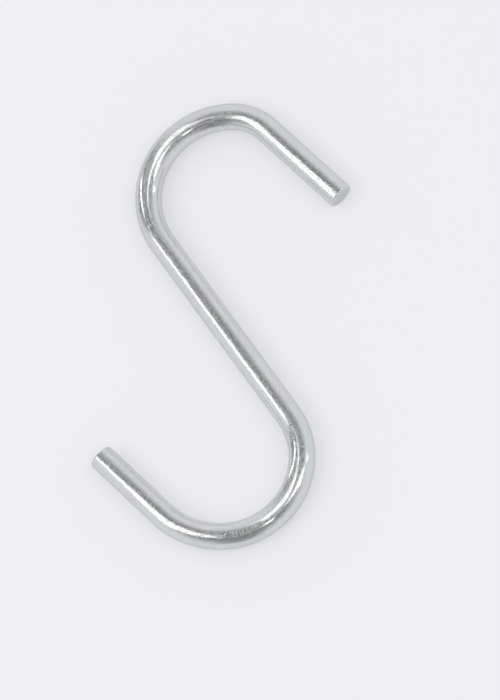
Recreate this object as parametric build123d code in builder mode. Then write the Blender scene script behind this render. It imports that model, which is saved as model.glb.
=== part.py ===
from build123d import *
import os
from math import atan2, degrees

# S hook: one length of round wire, bent in one plane. It lies flat on Z = 0, with the line
# it hangs along parallel to Y, the upper bend at +Y and the lower bend at -Y.
# The bends open to opposite sides, so that both turn the same way as they leave the shank.

# Wire
wire_diameter = 4.8
end_edge_radius = 0.25      # the cut ends are square, with their sharp edge broken

# Shank: the long straight run between the two bends
shank_length = 40.0

# Upper end: a wide bend over the rail, a tighter crook, then a straight tail.
# All bend radii are to the middle of the wire.
upper_bend_radius = 14.7
upper_bend_angle = 127.0
upper_crook_radius = 9.5
upper_crook_angle = 42.0
upper_tail_length = 18.9

# Lower end: a wide bend under the load, opening a little towards its straight tail
lower_bend_radius = 14.0
lower_bend_angle = 115.0
lower_mouth_radius = 15.7
lower_mouth_angle = 55.0
lower_tail_length = 15.8

# The shank leans so that the centres of the two wide bends lie on one line along Y.
shank_lean = degrees(atan2(upper_bend_radius + lower_bend_radius, shank_length))


def bent_wire(shank_middle):
    up_the_shank = Vector(0, 1, 0).rotate(Axis.Z, shank_lean)
    shank_top = shank_middle + up_the_shank * (shank_length / 2)
    shank_foot = shank_middle - up_the_shank * (shank_length / 2)

    with BuildPart() as wire:
        with BuildLine() as centreline:
            Line(shank_foot, shank_top)

            upper_bend = JernArc(shank_top, up_the_shank, upper_bend_radius, -upper_bend_angle)
            crook = JernArc(upper_bend @ 1, upper_bend % 1, upper_crook_radius, -upper_crook_angle)
            Line(crook @ 1, crook @ 1 + (crook % 1) * upper_tail_length)

            lower_bend = JernArc(shank_foot, -up_the_shank, lower_bend_radius, -lower_bend_angle)
            mouth = JernArc(lower_bend @ 1, lower_bend % 1, lower_mouth_radius, -lower_mouth_angle)
            Line(mouth @ 1, mouth @ 1 + (mouth % 1) * lower_tail_length)

        with BuildSketch(Plane(origin=centreline.line @ 0, z_dir=centreline.line % 0)):
            Circle(wire_diameter / 2)
        sweep(path=centreline.line)

        cut_ends = wire.faces().filter_by(GeomType.PLANE)
        fillet(cut_ends.edges(), end_edge_radius)
    return wire


# The wire is bent once about the origin, to find the box that it fills, and once more with
# the middle of that box's underside at the origin.
box = bent_wire(Vector(0, 0, 0)).part.bounding_box()
box_middle = box.center()
s_hook = bent_wire(Vector(-box_middle.X, -box_middle.Y, -box.min.Z))

os.makedirs("parts", exist_ok=True)
s_hook.part.label = "s_hook"
export_step(s_hook.part, "parts/s_hook.step")
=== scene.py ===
from math import atan2, cos, hypot, pi, radians, sin

import bpy
from mathutils import Matrix, Vector


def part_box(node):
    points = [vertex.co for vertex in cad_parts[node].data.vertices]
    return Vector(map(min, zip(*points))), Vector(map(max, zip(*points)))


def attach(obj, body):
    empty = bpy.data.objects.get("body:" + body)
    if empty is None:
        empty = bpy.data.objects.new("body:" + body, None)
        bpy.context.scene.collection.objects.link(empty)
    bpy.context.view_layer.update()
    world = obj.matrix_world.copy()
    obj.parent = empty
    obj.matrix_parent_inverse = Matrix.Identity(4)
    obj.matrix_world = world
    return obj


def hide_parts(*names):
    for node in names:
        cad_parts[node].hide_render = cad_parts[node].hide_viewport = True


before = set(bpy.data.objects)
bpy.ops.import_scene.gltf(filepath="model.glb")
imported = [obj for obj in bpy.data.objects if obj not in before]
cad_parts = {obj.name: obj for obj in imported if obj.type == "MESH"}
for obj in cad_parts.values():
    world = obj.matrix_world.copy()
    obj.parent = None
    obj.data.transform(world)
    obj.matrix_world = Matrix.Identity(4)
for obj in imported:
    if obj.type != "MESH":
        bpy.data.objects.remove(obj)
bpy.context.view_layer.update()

mm = 0.001
lowCorner, highCorner = (Vector(corner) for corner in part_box("s_hook"))
hookMiddle = (lowCorner + highCorner) / 2
bpy.ops.object.select_all(action="DESELECT")


camera = {
    "azimuth": 32.6,            # degrees round from the front, towards +X
    "elevation": 71.5,          # it looks down on the hook, a little off square
    "roll": 0.96,
    "distance": 4000 * mm,      # far off with a long lens, so that little foreshortens
    "viewHeight": 125.3 * mm,   # how much the frame takes in from top to bottom
    "aimRight": 5.2 * mm,       # the hook sits a little left of and above the middle
    "aimDown": 4.26 * mm,
    "sensor": 36.0,             # millimetres
    "nearest": 50 * mm,         # what it sees lies between these two distances
    "farthest": 20000 * mm,
}


def addCamera():
    azimuth, elevation = radians(camera["azimuth"]), radians(camera["elevation"])
    towards = Vector((sin(azimuth) * cos(elevation), -cos(azimuth) * cos(elevation),
                      sin(elevation)))
    # the line that the hook hangs along runs up the frame, but for the roll
    right = Vector((0, 1, 0)).cross(towards).normalized()
    right.rotate(Matrix.Rotation(radians(camera["roll"]), 3, towards))
    up = towards.cross(right)
    aim = hookMiddle + right * camera["aimRight"] - up * camera["aimDown"]

    data = bpy.data.cameras.new("camera")
    data.sensor_width = camera["sensor"]
    data.lens = camera["sensor"] * camera["distance"] / camera["viewHeight"]
    data.clip_start, data.clip_end = camera["nearest"], camera["farthest"]
    holder = bpy.data.objects.new("camera", data)
    bpy.context.collection.objects.link(holder)
    axes = Matrix((right, up, towards)).transposed().to_4x4()
    holder.matrix_world = Matrix.Translation(aim + towards * camera["distance"]) @ axes
    bpy.context.scene.camera = holder
    return right, up, towards


cameraRight, cameraUp, cameraTowards = addCamera()
print("camera done")


# one length of wire, drawn out ring by ring from the foot of the shank
wire = {
    "diameter": 4.8 * mm,
    "underCad": 0.01 * mm,              # the CAD's facets cut its curves that much short
    "endEdge": 0.25 * mm,               # how far the sharp edge of a cut end is broken
    "endEdgeSteps": 5,
    "endRing": 1 / 3,                   # the flat ring inside it, as a share of that edge
    "shank": 40.0 * mm,
    "upperBend": (14.7 * mm, 127.0),    # radius to the middle of the wire, degrees turned
    "upperCrook": (9.5 * mm, 42.0),
    "upperTail": 18.9 * mm,
    "lowerBend": (14.0 * mm, 115.0),
    "lowerMouth": (15.7 * mm, 55.0),
    "lowerTail": 15.8 * mm,
    "pointsRound": 72,
    "degreesPerStep": 1.5,
    "sharpAngle": 30,                   # edges turned by more degrees than this stay sharp
}
wireRadius = wire["diameter"] / 2
skinRadius = wireRadius - wire["underCad"]
hair = 0.001 * mm           # places closer than this are the same place
weld = 0.0001 * mm          # points closer than this are made one

# the shank leans so that the two wide bends have their centres on one line along Y
lean = atan2(wire["upperBend"][0] + wire["lowerBend"][0], wire["shank"])
upTheShank = Vector((-sin(lean), cos(lean), 0))
runs = []                   # each run of the wire, kept so that its points can be unbent


def select(piece, wanted, kind="VERT"):
    # the parts of the mesh whose corners all pass the test, and nothing else
    bpy.ops.mesh.select_mode(type=kind)
    bpy.ops.mesh.select_all(action="DESELECT")
    bpy.ops.object.mode_set(mode="OBJECT")
    points = piece.data.vertices
    if kind == "VERT":
        for point in points:
            point.select = wanted(point.co)
    else:
        for part in piece.data.edges if kind == "EDGE" else piece.data.polygons:
            part.select = all(wanted(points[corner].co) for corner in part.vertices)
    bpy.ops.object.mode_set(mode="EDIT")


def selectRing(piece, middle, heading, kind="VERT"):
    # what lies in the plane that crosses the wire there
    select(piece, lambda point: abs((point - middle).dot(heading)) < hair
           and (point - middle).length < wireRadius + hair, kind)


def keepRun(half, start, heading, along, length, radius=0):
    # half is 1 from the foot of the shank upwards and -1 from there down
    runs.append({"half": half, "start": start.copy(), "heading": heading.copy(),
                 "along": along, "length": length, "radius": radius,
                 "side": Vector((heading.y, -heading.x, 0))})
    return runs[-1]


def drawStraight(half, start, heading, along, length):
    keepRun(half, start, heading, along, length)
    bpy.ops.mesh.extrude_region_move(TRANSFORM_OT_translate={"value": heading * length})
    return start + heading * length, heading, along + length


def drawBend(half, start, heading, along, radiusAndAngle):
    radius, angle = radiusAndAngle
    run = keepRun(half, start, heading, along, radius * radians(angle), radius)
    centre = start + run["side"] * radius
    bpy.ops.mesh.spin(steps=round(angle / wire["degreesPerStep"]), angle=radians(angle),
                      center=centre, axis=(0, 0, 1))
    turned = Matrix.Rotation(-radians(angle), 3, "Z")
    return centre + turned @ (start - centre), turned @ heading, along + run["length"]


def cutEnd(piece, tip, heading):
    # closes the wire, breaks the sharp edge, and keeps the face flat inside it
    bpy.ops.mesh.edge_face_add()
    selectRing(piece, tip, heading, "EDGE")
    bpy.ops.mesh.bevel(offset=wire["endEdge"], segments=wire["endEdgeSteps"], profile=0.5,
                       affect="EDGES")
    selectRing(piece, tip, heading, "FACE")
    bpy.ops.mesh.inset(thickness=wire["endEdge"] * wire["endRing"])


def unbend(point):
    # where a point of the bent wire was while the wire was straight: across, up, along
    nearest = None
    for run in runs:
        if run["radius"]:
            spoke = point - run["start"] - run["side"] * run["radius"]
            spoke.z = 0
            turned = atan2(spoke.dot(run["heading"]), -spoke.dot(run["side"]))
            along, across = turned * run["radius"], run["radius"] - spoke.length
        else:
            out = point - run["start"]
            along, across = out.dot(run["heading"]), out.dot(run["side"])
        past = max(0, -along, along - run["length"])
        miss = hypot(past, across)
        if nearest is None or miss < nearest[0] - hair:
            nearest = (miss, run["half"] * across, point.z,
                       run["half"] * (run["along"] + along))
    return nearest[1:]


def makeHook():
    foot = -upTheShank * (wire["shank"] / 2)
    bpy.ops.mesh.primitive_circle_add(
        vertices=wire["pointsRound"], radius=skinRadius, location=foot,
        rotation=upTheShank.to_track_quat("Z", "Y").to_euler())
    hook = bpy.context.object
    hook.name = hook.data.name = "bent_wire_hook"
    bpy.ops.object.transform_apply(location=True, rotation=True, scale=True)
    bpy.ops.object.mode_set(mode="EDIT")
    bpy.ops.mesh.select_all(action="SELECT")

    upper = drawStraight(1, foot, upTheShank, 0, wire["shank"])
    upper = drawBend(1, *upper, wire["upperBend"])
    upper = drawBend(1, *upper, wire["upperCrook"])
    upper = drawStraight(1, *upper, wire["upperTail"])
    cutEnd(hook, *upper[:2])

    selectRing(hook, foot, upTheShank)
    lower = drawBend(-1, foot, -upTheShank, 0, wire["lowerBend"])
    lower = drawBend(-1, *lower, wire["lowerMouth"])
    lower = drawStraight(-1, *lower, wire["lowerTail"])
    cutEnd(hook, *lower[:2])

    bpy.ops.mesh.select_all(action="SELECT")
    bpy.ops.mesh.remove_doubles(threshold=weld)
    bpy.ops.mesh.normals_make_consistent(inside=False)
    bpy.ops.object.mode_set(mode="OBJECT")

    straightWire = hook.data.attributes.new("straightWire", "FLOAT_VECTOR", "POINT")
    for vertex, stored in zip(hook.data.vertices, straightWire.data):
        stored.vector = unbend(vertex.co)

    # the middle of the wire's box goes to the middle of the CAD box
    corners = [Vector(corner) for corner in hook.bound_box]
    middle = (corners[0] + corners[6]) / 2      # those two are opposite
    bpy.ops.object.mode_set(mode="EDIT")
    bpy.ops.mesh.select_all(action="SELECT")
    bpy.ops.transform.translate(value=hookMiddle - middle)
    bpy.ops.object.mode_set(mode="OBJECT")
    bpy.ops.object.shade_smooth_by_angle(angle=radians(wire["sharpAngle"]))
    return hook, (upper[1], lower[1])


hook, endHeadings = makeHook()
print("hook done:", len(hook.data.vertices), "points,", len(hook.data.polygons), "faces")

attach(hook, "root")
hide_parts("s_hook")


# both finishes share these: three noises, and how they make the height of the surface
grain = {
    "cloudDetail": 3,
    "speckDetail": 2,
    "speckRoughness": 0.6,
    "lineDetail": 2,
    "raisedSpecks": (0.52, 0.68),       # where a speck starts to rise and where it is full
    "lineHeight": 0.5,                  # where a full speck's is 1
}

zinc = {
    "paleTone": (0.73, 0.75, 0.74),
    "deepTone": (0.68, 0.72, 0.71),
    "warmTone": (0.725, 0.72, 0.735),
    "speckTone": (0.56, 0.58, 0.57),
    "rimTint": (0.82, 0.82, 0.82),      # it reflects a little less where it is seen aslant
    "cloudSize": 5.0,           # millimetres
    "grainSize": 0.22,
    "lineSize": 0.16,           # across the wire
    "lineLength": 5.0,          # along it
    "lineTurn": 0,              # degrees from the wire's length
    "roughness": (0.08, 0.17),          # at its smoothest and at its roughest
    "bump": 1.0,
    "bumpDepth": 0.016 * mm,
    # where each noise starts to show and where it shows in full
    "deepFrom": (0.35, 0.65),
    "warmFrom": (0.45, 0.7),
    "specksFrom": (0.56, 0.72),
    "roughFrom": (0.3, 0.75),
    "speckShare": 0.6,          # how much of its own tone a speck takes
}

# the sheared faces were plated with the rest, but stay duller, with marks across them
cutFace = {
    **zinc,
    "lineSize": 0.3,
    "lineLength": 3.0,
    "lineTurn": 90,
    "roughness": (0.2, 0.36),
    "bumpDepth": 0.03 * mm,
}


def node(tree, kind, **settings):
    made = tree.nodes.new(kind)
    for name, value in settings.items():
        setattr(made, name, value)
    return made


def ramp(tree, source, low, high, outLow=0.0, outHigh=1.0):
    made = node(tree, "ShaderNodeMapRange")
    for name, value in (("From Min", low), ("From Max", high), ("To Min", outLow),
                        ("To Max", outHigh)):
        made.inputs[name].default_value = value
    tree.links.new(source, made.inputs["Value"])
    return made.outputs["Result"]


sizeSockets = {
    "Cloud Size": "cloudSize",
    "Grain Size": "grainSize",
    "Line Size": "lineSize",
    "Line Length": "lineLength",
}


def buildPlatingGroup():
    group = bpy.data.node_groups.new("platingGrain", "ShaderNodeTree")
    newSocket = group.interface.new_socket
    newSocket("Wire Place", in_out="INPUT", socket_type="NodeSocketVector")
    for name, size in sizeSockets.items():
        socket = newSocket(name, in_out="INPUT", socket_type="NodeSocketFloat")
        socket.default_value = zinc[size]
    for name in ("Clouds", "Warmth", "Grain", "Height"):
        newSocket(name, in_out="OUTPUT", socket_type="NodeSocketFloat")
    enter, leave = node(group, "NodeGroupInput"), node(group, "NodeGroupOutput")
    link = group.links.new

    def inLumps(sizeName):
        # the place on the wire, counted in lumps of that many millimetres
        lumps = node(group, "ShaderNodeMath", operation="DIVIDE")
        lumps.inputs[0].default_value = 1 / mm
        link(enter.outputs[sizeName], lumps.inputs[1])
        scaled = node(group, "ShaderNodeVectorMath", operation="SCALE")
        link(enter.outputs["Wire Place"], scaled.inputs[0])
        link(lumps.outputs[0], scaled.inputs["Scale"])
        return scaled.outputs[0]

    def noise(place, detail, roughness=0.5):
        made = node(group, "ShaderNodeTexNoise")
        made.inputs["Scale"].default_value = 1
        made.inputs["Detail"].default_value = detail
        made.inputs["Roughness"].default_value = roughness
        link(place, made.inputs["Vector"])
        return made

    clouds = noise(inLumps("Cloud Size"), grain["cloudDetail"])
    tones = node(group, "ShaderNodeSeparateColor")
    link(clouds.outputs["Color"], tones.inputs[0])
    grit = noise(inLumps("Grain Size"), grain["speckDetail"], grain["speckRoughness"])

    # the drawing die leaves fine lines: the same noise, pulled out along the wire
    stretch = node(group, "ShaderNodeMath", operation="DIVIDE")
    link(enter.outputs["Line Size"], stretch.inputs[0])
    link(enter.outputs["Line Length"], stretch.inputs[1])
    pull = node(group, "ShaderNodeCombineXYZ")
    pull.inputs["X"].default_value = pull.inputs["Y"].default_value = 1
    link(stretch.outputs[0], pull.inputs["Z"])
    pulled = node(group, "ShaderNodeVectorMath", operation="MULTIPLY")
    link(inLumps("Line Size"), pulled.inputs[0])
    link(pull.outputs[0], pulled.inputs[1])
    lines = noise(pulled.outputs[0], grain["lineDetail"])

    # the plating is smooth between scattered specks, and the lines only show faintly
    height = node(group, "ShaderNodeMath", operation="MULTIPLY_ADD")
    link(lines.outputs["Fac"], height.inputs[0])
    height.inputs[1].default_value = grain["lineHeight"]
    link(ramp(group, grit.outputs["Fac"], *grain["raisedSpecks"]), height.inputs[2])

    link(tones.outputs["Red"], leave.inputs["Clouds"])
    link(tones.outputs["Green"], leave.inputs["Warmth"])
    link(grit.outputs["Fac"], leave.inputs["Grain"])
    link(height.outputs[0], leave.inputs["Height"])
    return group


platingGrain = buildPlatingGroup()


def blendColours(tree, factor, first, second):
    made = node(tree, "ShaderNodeMix", data_type="RGBA")
    tree.links.new(factor, made.inputs["Factor"])
    for socket, colour in (("A", first), ("B", second)):
        target = next(s for s in made.inputs if s.name == socket and s.type == "RGBA")
        if isinstance(colour, tuple):
            target.default_value = (*colour, 1)
        else:
            tree.links.new(colour, target)
    return next(s for s in made.outputs if s.type == "RGBA")


def platedMaterial(name, finish):
    material = bpy.data.materials.new(name)
    material.use_nodes = True
    tree = material.node_tree
    shader = tree.nodes["Principled BSDF"]
    link = tree.links.new
    place = node(tree, "ShaderNodeAttribute", attribute_name="straightWire")
    turn = node(tree, "ShaderNodeMapping")
    turn.inputs["Rotation"].default_value = (radians(finish["lineTurn"]), 0, 0)
    link(place.outputs["Vector"], turn.inputs["Vector"])
    plating = node(tree, "ShaderNodeGroup", node_tree=platingGrain)
    link(turn.outputs["Vector"], plating.inputs["Wire Place"])
    for name, size in sizeSockets.items():
        plating.inputs[name].default_value = finish[size]

    cool = blendColours(tree, ramp(tree, plating.outputs["Clouds"], *finish["deepFrom"]),
                        finish["paleTone"], finish["deepTone"])
    tone = blendColours(tree, ramp(tree, plating.outputs["Warmth"], *finish["warmFrom"]),
                        cool, finish["warmTone"])
    specks = ramp(tree, plating.outputs["Grain"], *finish["specksFrom"],
                  0, finish["speckShare"])
    link(blendColours(tree, specks, tone, finish["speckTone"]), shader.inputs["Base Color"])
    link(ramp(tree, plating.outputs["Grain"], *finish["roughFrom"], *finish["roughness"]),
         shader.inputs["Roughness"])
    bump = node(tree, "ShaderNodeBump")
    bump.inputs["Strength"].default_value = finish["bump"]
    bump.inputs["Distance"].default_value = finish["bumpDepth"]
    link(plating.outputs["Height"], bump.inputs["Height"])
    link(bump.outputs["Normal"], shader.inputs["Normal"])
    shader.inputs["Metallic"].default_value = 1
    shader.inputs["Specular Tint"].default_value = (*finish["rimTint"], 1)
    return material


hook.data.materials.append(platedMaterial("brightZinc", zinc))
hook.data.materials.append(platedMaterial("cutFaceZinc", cutFace))
squareOn = 0.999            # a cut face looks out along the wire at least this nearly
for face in hook.data.polygons:
    if any(face.normal.dot(heading) > squareOn for heading in endHeadings):
        face.material_index = 1
cutFaces = sum(face.material_index for face in hook.data.polygons)
print("zinc done:", cutFaces, "cut faces")


studio = {
    "floorSize": 3.0,
    "pale": (0.857, 0.857, 0.884),
    "fill": 0.90,               # how strongly the pale walls light the object
    "floorGlow": 0.5,           # how much of the floor's own shading is evened out
    # places round the hook are degrees right of the camera and degrees above it,
    # as the hook sees them
    "openTone": 0.30,           # the open, dark side that the camera looks in from
    "open": [(-8, 0, 50, 14), (-60, 27, 22, 7), (-84, 36, 22, 7), (-104, 52, 20, 8),
             (2, -52, 20, 10)],     # each with its reach and how softly it ends
    # strip lamps: from one place to another, width in degrees, brightness
    "lamps": {
        "lowLamp": ((-21, 2), (-62, -9), 29, 1.5),
        "rightLamp": ((5, 15), (36, 13), 15, 1.7),
        "edgeLamp": ((34, 26), (54, 24), 5, 1.5),
        "smallLamp": ((5, -5), (10, -13), 6, 4.0),
        "sideLamp": ((-57, 21), (-88, 45), 6, 2.8),
    },
    "lampDistance": 1500 * mm,
    # a small card close over each wide bend, seen only in the gloss
    "bendCard": ((-7, 15), (-28, 43), 17, 0.27),
    "cardDistance": 36 * mm,
    "cardSpread": 76,           # degrees, so that neither card shows in the other bend
    "cardPlace": 75,            # degrees round the bend from the shank
}


def lookingTo(rightDegrees, upDegrees):
    # the direction that lies so far round from the camera
    away = radians(hypot(rightDegrees, upDegrees))
    clock = atan2(upDegrees, rightDegrees)
    return (cameraTowards * cos(away)
            + (cameraRight * cos(clock) + cameraUp * sin(clock)) * sin(away)).normalized()


def roundTheBend(run, degreesTurned):
    # near the middle line of a bend, so many degrees round it
    centre = run["start"] + run["side"] * run["radius"]
    spoke = Matrix.Rotation(-radians(degreesTurned), 3, "Z") @ (run["start"] - centre)
    return hookMiddle + centre + spoke


def addLamp(name, start, stop, width, brightness, over=hookMiddle,
            reach=studio["lampDistance"]):
    first, last = lookingTo(*start), lookingTo(*stop)
    out, along = (first + last).normalized(), (last - first).normalized()
    data = bpy.data.lights.new(name, "AREA")
    data.shape = "RECTANGLE"
    data.size = reach * first.angle(last)
    data.size_y = reach * radians(width)
    data.energy = brightness * pi * data.size * data.size_y     # its face is that bright
    lamp = bpy.data.objects.new(name, data)
    bpy.context.collection.objects.link(lamp)
    axes = Matrix((along, out.cross(along), out)).transposed().to_4x4()
    lamp.matrix_world = Matrix.Translation(over + out * reach) @ axes
    lamp.visible_camera = False
    return lamp


def seenRays(tree):
    # 1 for rays that show the background: from the camera, off metal and through glass
    path = node(tree, "ShaderNodeLightPath")
    most = path.outputs["Is Camera Ray"]
    for kind in ("Is Glossy Ray", "Is Transmission Ray"):
        larger = node(tree, "ShaderNodeMath", operation="MAXIMUM")
        tree.links.new(most, larger.inputs[0])
        tree.links.new(path.outputs[kind], larger.inputs[1])
        most = larger.outputs[0]
    return most


def addFloor():
    bpy.ops.mesh.primitive_plane_add(size=studio["floorSize"])
    floor = bpy.context.object
    floor.name = "floor"
    material = bpy.data.materials.new("paleFloor")
    material.use_nodes = True
    shader = material.node_tree.nodes["Principled BSDF"]
    shader.inputs["Base Color"].default_value = (*studio["pale"], 1)
    shader.inputs["Roughness"].default_value = 1
    shader.inputs["Specular IOR Level"].default_value = 0
    # where the camera or the metal sees it, part of it shows as a plain pale backdrop
    glow = node(material.node_tree, "ShaderNodeEmission")
    glow.inputs["Color"].default_value = (*studio["pale"], 1)
    blend = node(material.node_tree, "ShaderNodeMixShader")
    link = material.node_tree.links.new
    link(ramp(material.node_tree, seenRays(material.node_tree), 0, 1, 0, studio["floorGlow"]),
         blend.inputs["Fac"])
    link(shader.outputs["BSDF"], blend.inputs[1])
    link(glow.outputs["Emission"], blend.inputs[2])
    link(blend.outputs[0], material.node_tree.nodes["Material Output"].inputs["Surface"])
    floor.data.materials.append(material)


def addWorld():
    world = bpy.data.worlds.new("studio")
    bpy.context.scene.world = world
    world.use_nodes = True
    tree = world.node_tree
    link = tree.links.new
    background = tree.nodes["Background"]
    direction = node(tree, "ShaderNodeTexCoord").outputs["Generated"]

    def darkPatch(right, up, reach, softness):
        towards = node(tree, "ShaderNodeVectorMath", operation="DOT_PRODUCT")
        towards.inputs[1].default_value = lookingTo(right, up)
        link(direction, towards.inputs[0])
        angle = node(tree, "ShaderNodeMath", operation="ARCCOSINE")
        link(towards.outputs["Value"], angle.inputs[0])
        return ramp(tree, angle.outputs[0], radians(reach - softness), radians(reach + softness),
                    1, 0)

    dark = darkPatch(*studio["open"][0])
    for patch in studio["open"][1:]:
        darker = node(tree, "ShaderNodeMath", operation="MAXIMUM")
        link(dark, darker.inputs[0])
        link(darkPatch(*patch), darker.inputs[1])
        dark = darker.outputs[0]
    path = node(tree, "ShaderNodeLightPath")
    darkInGloss = node(tree, "ShaderNodeMath", operation="MULTIPLY")
    link(dark, darkInGloss.inputs[0])
    link(path.outputs["Is Glossy Ray"], darkInGloss.inputs[1])
    openColour = tuple(channel * studio["openTone"] for channel in studio["pale"])
    link(blendColours(tree, darkInGloss.outputs[0], studio["pale"], openColour),
         background.inputs["Color"])
    link(ramp(tree, seenRays(tree), 0, 1, studio["fill"], 1), background.inputs["Strength"])


addFloor()
addWorld()
for lampName, lamp in studio["lamps"].items():
    addLamp(lampName, *lamp)
for run in runs:
    if run["radius"] in (wire["upperBend"][0], wire["lowerBend"][0]):
        card = addLamp("bendCard", *studio["bendCard"], roundTheBend(run, studio["cardPlace"]),
                       studio["cardDistance"])
        card.visible_diffuse = False
        card.data.spread = radians(studio["cardSpread"])
bpy.context.scene.view_settings.view_transform = "Standard"
print("studio done")
